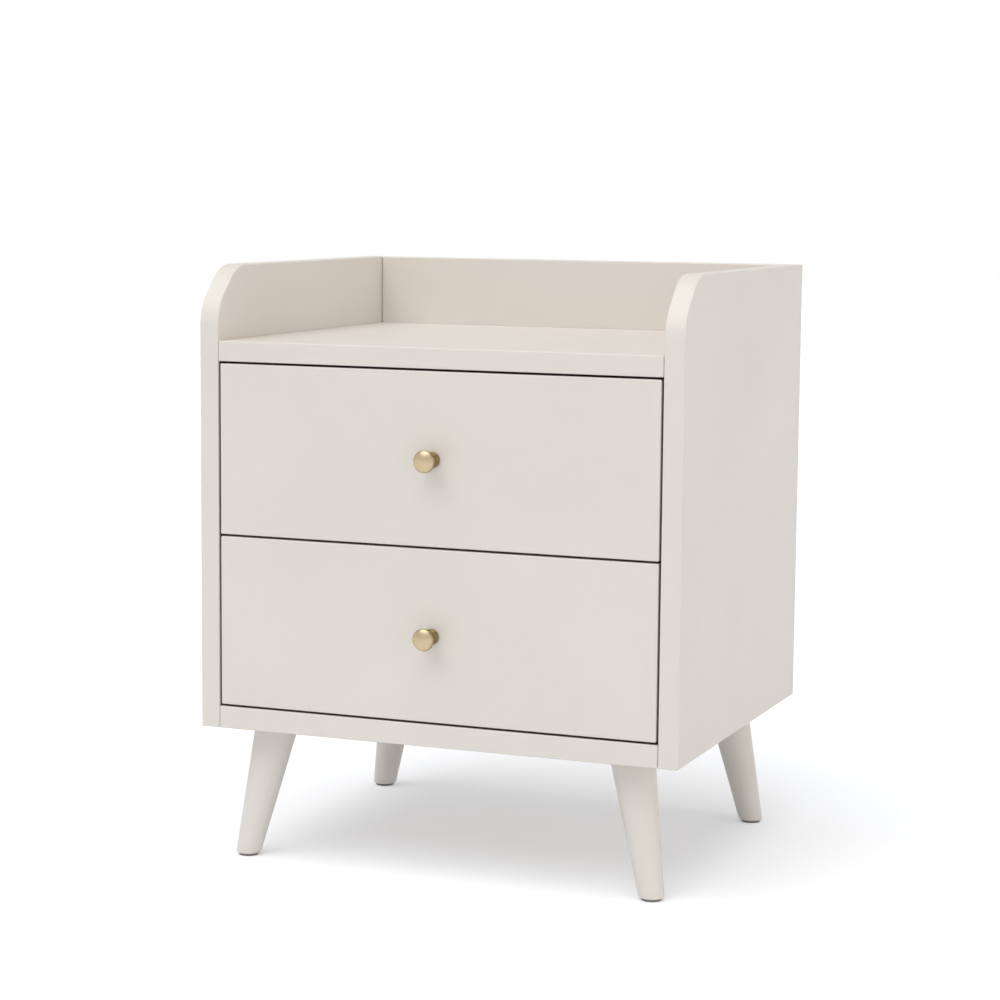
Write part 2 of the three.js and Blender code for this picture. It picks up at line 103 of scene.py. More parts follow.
room = bpy.data.worlds.new("room")
room.use_nodes = True
room_tree = room.node_tree
room_glow = room_tree.nodes["Background"]
room_view = room_tree.nodes.new("ShaderNodeBackground")
room_ray = room_tree.nodes.new("ShaderNodeLightPath")
room_place = room_tree.nodes.new("ShaderNodeTexCoord")
room_rise = room_tree.nodes.new("ShaderNodeMapRange")
room_glow.inputs["Color"].default_value = (1, 1, 1, 1)
room_view.inputs["Color"].default_value = (1, 1, 1, 1)
room_rise.inputs["To Min"].default_value = room_at_eye_level
room_rise.inputs["To Max"].default_value = room_overhead
room_height = axes(room_tree, room_place.outputs["Generated"])["Z"]
room_tree.links.new(room_height, room_rise.inputs["Value"])
room_tree.links.new(room_rise.outputs["Result"], room_glow.inputs["Strength"])
from_camera = room_ray.outputs["Is Camera Ray"]
switched(room_tree, from_camera, room_glow.outputs[0], room_view.outputs[0], "World Output")
bpy.context.scene.world = room


def soft_light(name, strength, tone, spread, heading, height):
    """A distant light: its heading is measured from straight in front, and its height from level."""
    lamp = bpy.data.lights.new(name, "SUN")
    lamp.energy = strength
    lamp.color = tone
    lamp.angle = math.radians(spread)
    light = bpy.data.objects.new(name, lamp)
    light.rotation_euler = (math.radians(90 - height), 0, math.radians(heading))
    bpy.context.scene.collection.objects.link(light)


soft_light("key_light", key_strength, key_tone, key_spread, key_heading, key_height)
soft_light("fill_light", fill_strength, fill_tone, fill_spread, fill_heading, fill_height)

floor_mesh = bpy.data.meshes.new("studio_floor")
floor_form = bmesh.new()
bmesh.ops.create_grid(floor_form, x_segments=1, y_segments=1, size=14)
floor_form.to_mesh(floor_mesh)
floor_form.free()
floor = bpy.data.objects.new("studio_floor", floor_mesh)
bpy.context.scene.collection.objects.link(floor)

floor_paint = bpy.data.materials.new("floor_paint")
floor_paint.use_nodes = True
floor_tree = floor_paint.node_tree
floor_skin = floor_tree.nodes["Principled BSDF"]
floor_skin.inputs["Base Color"].default_value = floor_tone
floor_skin.inputs["Roughness"].default_value = 0.9
floor_skin.inputs["Specular IOR Level"].default_value = 0.1
floor_skin.inputs["Emission Color"].default_value = (1, 1, 1, 1)
floor_ray = floor_tree.nodes.new("ShaderNodeLightPath")
floor_seen = floor_tree.nodes.new("ShaderNodeMath")
floor_seen.operation = "MULTIPLY"
floor_seen.inputs[1].default_value = floor_lift
floor_tree.links.new(floor_ray.outputs["Is Camera Ray"], floor_seen.inputs[0])
floor_tree.links.new(floor_seen.outputs[0], floor_skin.inputs["Emission Strength"])
floor_side = floor_tree.nodes.new("ShaderNodeNewGeometry").outputs["Backfacing"]
floor_clear = floor_tree.nodes.new("ShaderNodeBsdfTransparent")
switched(floor_tree, floor_side, floor_skin.outputs[0], floor_clear.outputs[0], "Material Output")
floor_mesh.materials.append(floor_paint)


# ---------------------------------------------------------------- side panels
# Two 18 mm boards, sprayed with a satin off-white lacquer. The front top corner is sawn to a slope and
# rounded into the edges, every edge is eased, and a groove and blind dowel holes are cut inside.

panel_slope = 37 * mm
panel_slope_round = 15 * mm
panel_ease = 1.2 * mm
hole_fit = 0.3 * mm


def box_form(low, high):
    """A plain block between two corners."""
    form = bmesh.new()
    bmesh.ops.create_cube(form, size=1)
    size = Vector(high) - Vector(low)
    bmesh.ops.scale(form, vec=size, verts=form.verts)
    bmesh.ops.translate(form, vec=(Vector(low) + Vector(high)) / 2, verts=form.verts)
    return form


def ease_edges(form, edges, width, segments):
    """Rounds edges with a small radius, as sanding and lacquer do."""
    bmesh.ops.bevel(
        form,
        geom=list(edges),
        offset=width,
        offset_type="OFFSET",
        segments=segments,
        profile=0.5,
        affect="EDGES",
        material=-1,
    )


def run_x(edge):
    """How far an edge runs along X."""
    return abs(edge.verts[0].co.x - edge.verts[1].co.x)


def rod_form(centre, radius, length, axis, sides=32):
    """A plain round bar, centred on a point and lying along X, Y or Z."""
    form = bmesh.new()
    bmesh.ops.create_cone(
        form, cap_ends=True, segments=sides, radius1=radius, radius2=radius, depth=length
    )
    turns = {"X": (math.pi / 2, "Y"), "Y": (math.pi / 2, "X"), "Z": (0, "Z")}
    angle, about = turns[axis]
    turn = Matrix.Rotation(angle, 4, about)
    bmesh.ops.transform(form, matrix=Matrix.Translation(centre) @ turn, verts=form.verts)
    return form


def loose_object(name, form):
    """An object of a form that is used up by it."""
    mesh = bpy.data.meshes.new(name)
    form.to_mesh(mesh)
    form.free()
    made = bpy.data.objects.new(name, mesh)
    bpy.context.scene.collection.objects.link(made)
    return made


def cut_away(form, cutters):
    """The form less its cutters: grooves, bores and slots."""
    work = loose_object("work", form)
    tools = [loose_object("tool", cutter) for cutter in cutters]
    for tool in tools:
        saw = work.modifiers.new("saw", "BOOLEAN")
        saw.object = tool
        saw.operation = "DIFFERENCE"
        saw.solver = "EXACT"
    bpy.context.view_layer.update()
    solid = work.evaluated_get(bpy.context.evaluated_depsgraph_get())
    cut = bmesh.new()
    cut.from_mesh(solid.to_mesh())
    solid.to_mesh_clear()
    for used in [work, *tools]:
        spent = used.data
        bpy.data.objects.remove(used)
        bpy.data.meshes.remove(spent)
    return cut


def finished_piece(name, form, material, body, nodes, sharp_above=34):
    """A piece of the table, in place of its CAD nodes, with crisp flats and smooth rounded edges."""
    bmesh.ops.recalc_face_normals(form, faces=form.faces)
    for face in form.faces:
        face.smooth = True
    piece = loose_object(name, form)
    piece.data.set_sharp_from_angle(angle=math.radians(sharp_above))
    flats = piece.modifiers.new("flats", "WEIGHTED_NORMAL")
    flats.keep_sharp = True
    piece.data.materials.append(material)
    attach(piece, body)
    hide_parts(*nodes)


def new_group(name, inputs, outputs):
    """An empty shader group, its sockets named with their kinds, and its two ends."""
    tree = bpy.data.node_groups.new(name, "ShaderNodeTree")
    for in_out, sockets in (("INPUT", inputs), ("OUTPUT", outputs)):
        for label, kind in sockets.items():
            tree.interface.new_socket(label, in_out=in_out, socket_type="NodeSocket" + kind)
    return tree, tree.nodes.new("NodeGroupInput"), tree.nodes.new("NodeGroupOutput")


def maths(tree, operation, first, second=None, clamp=False):
    """A Math node between two values or sockets; gives its output socket."""
    node = tree.nodes.new("ShaderNodeMath")
    node.operation = operation
    node.use_clamp = clamp
    for socket, value in zip(node.inputs, (first, second)):
        if value is None:
            continue
        if isinstance(value, bpy.types.NodeSocket):
            tree.links.new(value, socket)
        else:
            socket.default_value = value
    return node.outputs[0]


def noise(tree, vector, scale, detail, roughness):
    """A Noise Texture on a vector; gives its value socket."""
    node = tree.nodes.new("ShaderNodeTexNoise")
    node.inputs["Scale"].default_value = scale
    node.inputs["Detail"].default_value = detail
    node.inputs["Roughness"].default_value = roughness
    tree.links.new(vector, node.inputs["Vector"])
    return node.outputs["Fac"]


def ranged(tree, value, low, high, to_low, to_high):
    """A Map Range node with a clamp; gives its output socket."""
    node = tree.nodes.new("ShaderNodeMapRange")
    tree.links.new(value, node.inputs["Value"])
    limits = {"From Min": low, "From Max": high, "To Min": to_low, "To Max": to_high}
    for label, number in limits.items():
        node.inputs[label].default_value = number
    return node.outputs["Result"]


def blended(tree, factor, first, second):
    """A colour mix between two colours or sockets; gives its colour socket."""
    node = tree.nodes.new("ShaderNodeMix")
    node.data_type = "RGBA"
    tree.links.new(factor, node.inputs["Factor"])
    for socket, value in ((node.inputs[6], first), (node.inputs[7], second)):
        if isinstance(value, bpy.types.NodeSocket):
            tree.links.new(value, socket)
        else:
            socket.default_value = value
    return node.outputs[2]


def vector_maths(tree, operation, first, second):
    """A Vector Math node between two vector sockets; gives its output socket."""
    node = tree.nodes.new("ShaderNodeVectorMath")
    node.operation = operation
    tree.links.new(first, node.inputs[0])
    tree.links.new(second, node.inputs[1])
    return node.outputs["Value" if operation == "DOT_PRODUCT" else "Vector"]


def weighed(tree, first, first_share, second, second_share, clamp=False):
    """The sum of two sockets, each times its share."""
    first_part = maths(tree, "MULTIPLY", first, first_share)
    second_part = maths(tree, "MULTIPLY", second, second_share)
    return maths(tree, "ADD", first_part, second_part, clamp)


tone_sockets = {"Light Tone": "Color", "Deep Tone": "Color", "Sheen Low": "Float", "Sheen High": "Float"}


def finish_group(name, own_sockets):
    """An empty group for a finish, which reads a place and gives colour, roughness and height."""
    outputs = {"Color": "Color", "Roughness": "Float", "Height": "Float"}
    return new_group(name, {"Place": "Vector", **own_sockets}, outputs)


def tones(light, deep, sheen):
    """A finish's light and deep tones and its low and high sheens, by socket."""
    return {
        "Light Tone": (*light, 1),
        "Deep Tone": (*deep, 1),
        "Sheen Low": sheen[0],
        "Sheen High": sheen[1],
    }


def tone_at(tree, start, share):
    """A colour between a finish's light and deep tones."""
    return blended(tree, share, start.outputs["Light Tone"], start.outputs["Deep Tone"])


def sheen_at(tree, start, share):
    """A roughness between a finish's low and high sheens."""
    rise = maths(tree, "SUBTRACT", start.outputs["Sheen High"], start.outputs["Sheen Low"])
    return maths(tree, "ADD", start.outputs["Sheen Low"], maths(tree, "MULTIPLY", rise, share))


def end_finish(tree, end, color, roughness, height):
    """Leads a finish's three results out of its group."""
    for label, source in (("Color", color), ("Roughness", roughness), ("Height", height)):
        tree.links.new(source, end.inputs[label])


def sprayed_film():
    """A sprayed satin film: slow drifts of tone and sheen, and the fine ripple of the spray."""
    tree, start, end = finish_group("sprayed_film", tone_sockets)
    place = start.outputs["Place"]
    drift = ranged(tree, noise(tree, place, 6, 3, 0.55), 0.3, 0.7, 0, 1)
    speck = ranged(tree, noise(tree, place, 420, 2, 0.6), 0.45, 0.75, 0, 0.18)
    tone = tone_at(tree, start, weighed(tree, drift, 0.8, speck, 1, clamp=True))
    handled = ranged(tree, noise(tree, place, 11, 4, 0.6), 0.25, 0.75, 0, 1)
    ripple = noise(tree, place, 260, 2, 0.5)
    grit = noise(tree, place, 1500, 1, 0.5)
    relief = weighed(tree, ripple, 1, grit, 0.25)
    end_finish(tree, end, tone, sheen_at(tree, start, handled), relief)
    return tree


film_group = sprayed_film()


def placed_group(material, group, values):
    """A shader group in a material, reading Object coordinates, with its own values set."""
    tree = material.node_tree
    node = tree.nodes.new("ShaderNodeGroup")
    node.node_tree = group
    place = tree.nodes.new("ShaderNodeTexCoord")
    tree.links.new(place.outputs["Object"], node.inputs["Place"])
    for label, value in values.items():
        node.inputs[label].default_value = value
    return node


def join_skin(material, node, bump_distance, bump_strength):
    """Leads a finish's colour, roughness and height into the material's Principled shader."""
    tree = material.node_tree
    skin = tree.nodes["Principled BSDF"]
    bump = tree.nodes.new("ShaderNodeBump")
    bump.inputs["Distance"].default_value = bump_distance
    bump.inputs["Strength"].default_value = bump_strength
    tree.links.new(node.outputs["Color"], skin.inputs["Base Color"])
    tree.links.new(node.outputs["Roughness"], skin.inputs["Roughness"])
    tree.links.new(node.outputs["Height"], bump.inputs["Height"])
    tree.links.new(bump.outputs["Normal"], skin.inputs["Normal"])
    return skin


def finish_material(name, group, values, bump_distance, bump_strength):
    """A material in one finish, with its own values and depth of relief."""
    material = bpy.data.materials.new(name)
    material.use_nodes = True
    join_skin(material, placed_group(material, group, values), bump_distance, bump_strength)
    return material


def set_skin(material, values):
    """Sets plain values on the material's Principled shader."""
    for label, value in values.items():
        material.node_tree.nodes["Principled BSDF"].inputs[label].default_value = value


def reveal_shade_zone():
    """A mask of the space between two corners, fading in behind its front and out at its back: where the
    shade in the reveals is painted.
    """
    corners = {"Low Corner": "Vector", "High Corner": "Vector"}
    inputs = {"Place": "Vector", **corners, "Fade": "Float"}
    tree, start, end = new_group("reveal_shade_zone", inputs, {"Mask": "Float"})
    mask = 1
    for first, second in (("Place", "Low Corner"), ("High Corner", "Place")):
        gap = vector_maths(tree, "SUBTRACT", start.outputs[first], start.outputs[second])
        for share in axes(tree, gap):
            inside = maths(tree, "DIVIDE", share, start.outputs["Fade"], clamp=True)
            mask = maths(tree, "MULTIPLY", inside, mask)
    tree.links.new(mask, end.inputs["Mask"])
    return tree


# The space just behind the drawer fronts' faces and inside the opening, where the lacquer is painted
# darker as shade in the reveals.
zone_group = reveal_shade_zone()
zone_fade = 2 * mm
zone_past_opening = zone_fade + 0.5 * mm
zone_behind_front = 1.5 * mm
zone_margin = Vector((1, 0, 1)) * zone_past_opening
zone_low = Vector((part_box("left_side_panel")[1].x, 0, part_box("bottom_board")[1].z)) - zone_margin
zone_high = Vector((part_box("right_side_panel")[0].x, 0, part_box("top_board")[0].z)) + zone_margin
zone_low.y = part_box("lower_drawer_front")[0].y + zone_behind_front
zone_high.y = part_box("lower_drawer_front")[1].y


def lacquered(name, reveal_shade_tone):
    """Satin lacquer with painted shade: a darker tone on the faces inside the reveals round the drawer
    fronts, standing in for the shadow in the gaps.
    """
    material = bpy.data.materials.new(name)
    material.use_nodes = True
    film_tones = tones(light=(0.768, 0.721, 0.668), deep=(0.742, 0.694, 0.641), sheen=(0.40, 0.50))
    film = placed_group(material, film_group, film_tones)
    zone_place = {"Low Corner": zone_low, "High Corner": zone_high, "Fade": zone_fade}
    zone = placed_group(material, zone_group, zone_place)
    skin = join_skin(material, film, 0.03 * mm, 0.5)
    # Painted shade: inside the reveals the lacquer's colour gives way to a dark tone.
    tint = blended(material.node_tree, zone.outputs["Mask"], film.outputs["Color"], reveal_shade_tone)
    material.node_tree.links.new(tint, skin.inputs["Base Color"])
    set_skin(material, {"Specular IOR Level": 0.42, "Coat Weight": 0.12, "Coat Roughness": 0.28})
    return material


# The dark tone is painted shade on the carcass faces inside the drawer reveals.
lacquer = lacquered("satin_lacquer", (0.20, 0.18, 0.155, 1))

dowel_nodes = [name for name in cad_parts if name.endswith("_dowel")]
back_low, back_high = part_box("back_panel")
groove_margin = Vector((hole_fit, hole_fit, hole_fit))


def back_groove():
    """The slot that the back panel sits in, all round."""
    return box_form(back_low - groove_margin, back_high + groove_margin)


def dowel_holes(low, high):
    """Bores for the dowels that reach into a board between two corners."""
    holes = []
    for name in sorted(dowel_nodes):
        pin_low, pin_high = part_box(name)
        reaches = all(pin_low[i] < high[i] and pin_high[i] > low[i] for i in range(3))
        if reaches:
            radius = (pin_high.z - pin_low.z) / 2 + hole_fit
            length = pin_high.x - pin_low.x + 2 * hole_fit
            holes.append(rod_form((pin_low + pin_high) / 2, radius, length, "X"))
    return holes


def side_panel(name):
    """One side panel: its corner sawn to a slope and rounded, every edge eased, and its holes cut."""
    low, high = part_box(name)
    form = box_form(low, high)
    corner = [
        edge for edge in form.edges
        if all(v.co.y < low.y + mm and v.co.z > high.z - mm for v in edge.verts)
    ]
    ease_edges(form, corner, panel_slope, 1)
    slope_ends = [
        edge for edge in form.edges
        if run_x(edge) > mm
        and all(
            abs(v.co.y - low.y) + abs(v.co.z - (high.z - panel_slope)) < mm
            or abs(v.co.y - (low.y + panel_slope)) + abs(v.co.z - high.z) < mm
            for v in edge.verts
        )
    ]
    ease_edges(form, slope_ends, panel_slope_round, 14)
    rim = [edge for edge in form.edges if run_x(edge) < 0.01 * mm]
    ease_edges(form, rim, panel_ease, 5)
    across = [edge for edge in form.edges if run_x(edge) > mm and edge.calc_face_angle(0) > 1.2]
    ease_edges(form, across, panel_ease, 5)
    form = cut_away(form, [back_groove(), *dowel_holes(low, high)])
    finished_piece(name + "_board", form, lacquer, "cabinet", [name])


for side in ("left", "right"):
    side_panel(side + "_side_panel")


# ---------------------------------------------------------------- top board, bottom board, gallery rail
# Boards fitted between the side panels and lacquered with them. The rail stands in a rebate along the
# rear of the top board, and the bottom board has four bores from below for the leg inserts.

board_ease = 1.0 * mm
rail_ease = 1.2 * mm
insert_bore_past = 3 * mm


def insert_bores():
    """Blind bores from below for the four leg inserts."""
    bores = []
    for name in sorted(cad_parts):
        if name.endswith("_leg_insert"):
            low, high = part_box(name)
            radius = (high.x - low.x) / 2 + hole_fit
            depth = high.z - low.z + insert_bore_past
            centre = Vector(((low.x + high.x) / 2, (low.y + high.y) / 2, high.z + hole_fit - depth / 2))
            bores.append(rod_form(centre, radius, depth, "Z"))
    return bores


def carcass_board(name, ease, cutters):
    """One board of the carcass, eased, bored for its dowels and cut by its own cutters."""
    low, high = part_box(name)
    form = box_form(low, high)
    ease_edges(form, form.edges, ease, 4)
    form = cut_away(form, cutters + dowel_holes(low, high))
    finished_piece(name + "_fitted", form, lacquer, "cabinet", [name])


rail_low, rail_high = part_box("gallery_rail")
rail_rebate = box_form(
    (rail_low.x - mm, rail_low.y - hole_fit, rail_low.z - hole_fit),
    (rail_high.x + mm, rail_high.y + mm, rail_high.z),
)
carcass_board("top_board", board_ease, [rail_rebate, back_groove()])
carcass_board("bottom_board", board_ease, [back_groove(), *insert_bores()])
carcass_board("gallery_rail", rail_ease, [])


# ---------------------------------------------------------------- back panel
# A thin hardboard sheet, faced to match, slid into grooves in the four boards round it. Its faces keep
# a faint pressed texture under the paint.

sheet_ease = 0.4 * mm
faced_board = finish_material(
    "faced_hardboard",
    film_group,
    tones(light=(0.70, 0.66, 0.61), deep=(0.655, 0.612, 0.56), sheen=(0.52, 0.68)),
    bump_distance=0.08 * mm,
    bump_strength=0.6,
)

back_form = box_form(back_low, back_high)
ease_edges(back_form, back_form.edges, sheet_ease, 2)
finished_piece("back_panel_sheet", back_form, faced_board, "cabinet", ["back_panel"])


# ---------------------------------------------------------------- dowels
# Ten bare beech pins, glued across the joints between the boards and the side panels. Their grain runs
# along the pin.


def wood_grain():
    """Long soft streaks along the first coordinate, with fine pores."""
    tree, start, end = finish_group("wood_grain", {"Stretch": "Vector", **tone_sockets})
    place = vector_maths(tree, "MULTIPLY", start.outputs["Place"], start.outputs["Stretch"])
    bands = ranged(tree, noise(tree, place, 55, 4, 0.6), 0.3, 0.7, 0, 1)
    pores = ranged(tree, noise(tree, place, 420, 2, 0.6), 0.52, 0.75, 0, 1)
    tone = tone_at(tree, start, weighed(tree, bands, 0.75, pores, 0.45, clamp=True))
    relief = maths(tree, "SUBTRACT", bands, pores)
    end_finish(tree, end, tone, sheen_at(tree, start, pores), relief)
    return tree


beech_tones = tones(light=(0.62, 0.41, 0.22), deep=(0.47, 0.28, 0.13), sheen=(0.6, 0.8))
beech = finish_material(
    "bare_beech",
    wood_grain(),
    {"Stretch": (0.12, 1, 1), **beech_tones},
    bump_distance=0.05 * mm,
    bump_strength=0.5,
)


def refinish(name, material):
    """Gives a CAD node that keeps its own shape a new finish."""
    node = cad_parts[name]
    node.data.materials.clear()
    node.data.materials.append(material)


for name in dowel_nodes:
    refinish(name, beech)


# ---------------------------------------------------------------- legs
# Four turned legs with a straight taper, lacquered like the carcass. They lean outwards, so their tops
# and feet are cut level, and each is bored for its bolt above and for the glide's pin below.

leg_top_radius = 20 * mm
leg_foot_radius = 11.4 * mm
leg_foot_round = 2.5 * mm
leg_turn_steps = 96
glide_pin_bore = 1.55 * mm
leg_corners = ("front_left", "front_right", "rear_left", "rear_right")


def lathe(points, steps):
    """A turned form about Z from a profile of radius and height that starts and ends on the axis."""
    form = bmesh.new()
    profile = [form.verts.new((radius, 0, height)) for radius, height in points]
    line = [form.edges.new(pair) for pair in zip(profile, profile[1:])]
    bmesh.ops.spin(
        form,
        geom=profile + line,
        cent=(0, 0, 0),
        axis=(0, 0, 1),
        angle=2 * math.pi,
        steps=steps,
        use_merge=True,
    )
    bmesh.ops.remove_doubles(form, verts=form.verts, dist=0.001 * mm)
    bmesh.ops.recalc_face_normals(form, faces=form.faces)
    return form


def arc(centre, radius, start, stop, steps):
    """Points round an arc of a profile, its angles in degrees."""
    angles = [math.radians(start + (stop - start) * i / steps) for i in range(steps + 1)]
    return [(centre[0] + radius * math.cos(a), centre[1] + radius * math.sin(a)) for a in angles]


def middle_of(name):
    """The middle of a CAD node's box."""
    low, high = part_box(name)
    return (low + high) / 2


leg_body_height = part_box("bottom_board")[0].z
for corner_name in leg_corners:
    node = corner_name + "_leg"
    low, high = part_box(node)
    top = middle_of(corner_name + "_leg_bolt")
    foot = middle_of(corner_name + "_foot_glide")
    slope = (top.xy - foot.xy) / (leg_body_height - low.z)
    round_centre = (leg_foot_radius - leg_foot_round, low.z + leg_foot_round)
    profile = [(0, low.z), *arc(round_centre, leg_foot_round, -90, 0, 8)]
    profile += [(leg_top_radius, high.z), (0, high.z)]
    form = lathe(profile, leg_turn_steps)
    lean = Matrix.Identity(4)
    lean[0][2], lean[1][2] = slope
    start = Matrix.Translation((foot.x, foot.y, low.z))
    lower = Matrix.Translation((0, 0, -low.z))
    bmesh.ops.transform(form, matrix=start @ lean @ lower, verts=form.verts)

    bolt_low, bolt_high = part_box(corner_name + "_leg_bolt")
    bolt_radius = (bolt_high.x - bolt_low.x) / 2 + hole_fit
    bolt_depth = high.z - bolt_low.z + hole_fit + mm
    bolt_middle = Vector((top.x, top.y, bolt_low.z - hole_fit + bolt_depth / 2))
    bolt_bore = rod_form(bolt_middle, bolt_radius, bolt_depth, "Z")
    pin_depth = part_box(corner_name + "_foot_glide")[1].z - low.z + hole_fit + mm
    pin_middle = Vector((foot.x, foot.y, low.z - mm + pin_depth / 2))
    pin_bore = rod_form(pin_middle, glide_pin_bore, pin_depth, "Z")
    form = cut_away(form, [bolt_bore, pin_bore])
    bmesh.ops.dissolve_degenerate(form, dist=0.005 * mm, edges=form.edges)
    finished_piece(node + "_turned", form, lacquer, "cabinet", [node])


# ---------------------------------------------------------------- leg bolts and inserts
# Zinc-plated steel: a bolt in the top of each leg, screwed into a threaded insert in the bottom board.
# Both are out of sight once the leg is on.


def drawn_steel():
    """Plated sheet or bar: soft streaks along one direction, cloudy plating and fine scratches."""
    tree, start, end = finish_group("drawn_steel", {"Stretch": "Vector", **tone_sockets})
    place = vector_maths(tree, "MULTIPLY", start.outputs["Place"], start.outputs["Stretch"])
    streaks = ranged(tree, noise(tree, place, 900, 3, 0.6), 0.3, 0.7, 0, 1)
    clouds = ranged(tree, noise(tree, start.outputs["Place"], 40, 3, 0.6), 0.3, 0.7, 0, 1)
    shade = weighed(tree, streaks, 0.35, clouds, 0.65)
    end_finish(tree, end, tone_at(tree, start, shade), sheen_at(tree, start, shade), streaks)
    return tree


steel_group = drawn_steel()


def plated_steel(name, stretch):
    """Bright zinc plating on steel that was drawn or rolled along one direction."""
    zinc_tones = tones(light=(0.62, 0.63, 0.64), deep=(0.47, 0.48, 0.50), sheen=(0.24, 0.42))
    material = finish_material(
        name,
        steel_group,
        {"Stretch": stretch, **zinc_tones},
        bump_distance=0.01 * mm,
        bump_strength=0.5,
    )
    set_skin(material, {"Metallic": 1})
    return material


turned_zinc = plated_steel("turned_zinc", (0.3, 0.3, 1))
for name in sorted(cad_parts):
    if name.endswith(("_leg_bolt", "_leg_insert")):
        refinish(name, turned_zinc)


# ---------------------------------------------------------------- foot glides
# A grey-brown nylon disc with a rounded rim under each foot, held by its own pin. Only its rim shows,
# as a thin dark line between the leg and the floor.

nylon = finish_material(
    "grey_nylon",
    film_group,
    tones(light=(0.245, 0.230, 0.200), deep=(0.195, 0.180, 0.155), sheen=(0.5, 0.75)),
    bump_distance=0.04 * mm,
    bump_strength=0.7,
)

glide_round = 0.6 * mm
glide_thickness = 1.6 * mm
pin_radius = 1.25 * mm
for corner_name in leg_corners:
    node = corner_name + "_foot_glide"
    low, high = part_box(node)
    radius = (high.x - low.x) / 2
    rim_centre = radius - glide_round
    profile = [(0, 0), *arc((rim_centre, glide_round), glide_round, -90, 0, 5)]
    profile += arc((rim_centre, glide_thickness - glide_round), glide_round, 0, 90, 5)
    profile += [(pin_radius, glide_thickness), (pin_radius, high.z - mm), (0, high.z)]
    form = lathe(profile, 48)
    middle = middle_of(node)
    bmesh.ops.translate(form, vec=(middle.x, middle.y, low.z), verts=form.verts)
    finished_piece(node + "_disc", form, nylon, "cabinet", [node])


# ---------------------------------------------------------------- drawer slides
# Roll-formed zinc-plated channels, three to a side: one screwed to the carcass, one to the drawer box
# and one between them. The bends are rounded, the lips curl in to keep the balls, and the webs are
# punched with round and long holes.

slide_sheet = 1.2 * mm
lip_curl = 1.0 * mm
rolled_zinc = plated_steel("rolled_zinc", (1, 0.02, 1))


def long_hole(centre, length, width):
    """A cutter for a punched hole with round ends, lying along Y, through a web that faces X."""
    reach = Vector((3 * mm, length / 2, width / 2))
    form = box_form(centre - reach, centre + reach)
    ends = [edge for edge in form.edges if run_x(edge) > mm]
    ease_edges(form, ends, width * 0.49, 8)
    return form


def channel_form(low, high, opens_towards, holes):
    """A rolled channel between two corners, lying along Y, open towards +X (1) or -X (-1)."""
    flange = high.x - low.x
    half = (high.z - low.z) / 2
    inside = half - slide_sheet
    lip_end = inside - lip_curl
    lip_in = flange - slide_sheet
    corners = [
        (0, half, 1.8), (flange, half, 1.5), (flange, lip_end, 0.4), (lip_in, lip_end, 0.4),
        (lip_in, inside, 0.3), (slide_sheet, inside, 0.6),
    ]
    outline = [(u, -z, bend) for u, z, bend in corners]
    outline += [(u, z, bend) for u, z, bend in reversed(corners)]
    web_x = low.x if opens_towards > 0 else high.x
    middle_z = (low.z + high.z) / 2
    form = bmesh.new()
    points = []
    for u, z, bend in outline:
        points.append(form.verts.new((web_x + opens_towards * u, low.y, middle_z + z)))
    form.faces.new(points)
    for point, (u, z, bend) in zip(points, outline):
        bmesh.ops.bevel(
            form,
            geom=[point],
            offset=bend * mm,
            offset_type="OFFSET",
            segments=5,
            profile=0.5,
            affect="VERTICES",
            material=-1,
        )
    pulled = bmesh.ops.extrude_face_region(form, geom=list(form.faces))
    far_end = [item for item in pulled["geom"] if isinstance(item, bmesh.types.BMVert)]
    bmesh.ops.translate(form, vec=(0, high.y - low.y, 0), verts=far_end)
    bmesh.ops.recalc_face_normals(form, faces=form.faces)
    return cut_away(form, holes)


screw_hole_along = (-120 * mm, 20 * mm, 128 * mm)
long_hole_along = (-75 * mm, 74 * mm)
long_hole_length = 13 * mm
long_hole_width = 5 * mm
screw_shank_radius = 1.7 * mm


def web_holes(low, high, opens_towards, round_radius):
    """Cutters for one web: its screw holes and the long holes between them."""
    web_x = low.x if opens_towards > 0 else high.x
    middle_z = (low.z + high.z) / 2
    holes = []
    for along in screw_hole_along:
        holes.append(rod_form((web_x, along, middle_z), round_radius, 6 * mm, "X", 24))
    for along in long_hole_along:
        holes.append(long_hole(Vector((web_x, along, middle_z)), long_hole_length, long_hole_width))
    return holes


def screw_form(shank_radius, shank_length, head_points, reach, slot, recess):
    """A screw along Z with its shank below height 0, its head by points, and a cross recess."""
    profile = [(0, -shank_length), (shank_radius * 0.6, -shank_length)]
    profile += [(shank_radius, -shank_length + shank_radius), *head_points]
    above = head_points[-1][1] + mm
    cross = [
        box_form((-reach, -slot, recess), (reach, slot, above)),
        box_form((-slot, -reach, recess), (slot, reach, above)),
    ]
    return cut_away(lathe(profile, 36), cross)


def pan_screw(head_radius, head_height, shank_radius, shank_length):
    """A screw with its seat at height 0 and a rounded head above."""
    crown = head_height * 0.55
    shoulder = head_height - crown
    head = [(shank_radius, 0), (head_radius, 0)]
    head += arc((head_radius - crown, shoulder), crown, 0, 90, 6)
    head += [(0, head_height)]
    reach = head_radius * 0.55
    return screw_form(shank_radius, shank_length, head, reach, head_radius * 0.18, head_height * 0.35)


def flush_screw(head_radius, head_height, shank_radius, shank_length):
    """A countersunk screw with its flat top at height 0."""
    head = [(shank_radius, -head_height), (head_radius, -0.35 * mm), (head_radius, 0), (0, 0)]
    reach = head_radius * 0.5
    return screw_form(shank_radius, shank_length, head, reach, head_radius * 0.16, -0.9 * mm)


def set_along(form, seat, direction):
    """Turns a form from Z to a direction and moves it to its seat."""
    turn = Vector((0, 0, 1)).rotation_difference(Vector(direction)).to_matrix().to_4x4()
    bmesh.ops.transform(form, matrix=Matrix.Translation(seat) @ turn, verts=form.verts)
    return form


def joined(forms):
    """Several separate forms as one, such as the screws of one rail."""
    whole = bmesh.new()
    for form in forms:
        mesh = bpy.data.meshes.new("part")
        form.to_mesh(mesh)
        form.free()
        whole.from_mesh(mesh)
        bpy.data.meshes.remove(mesh)
    return whole


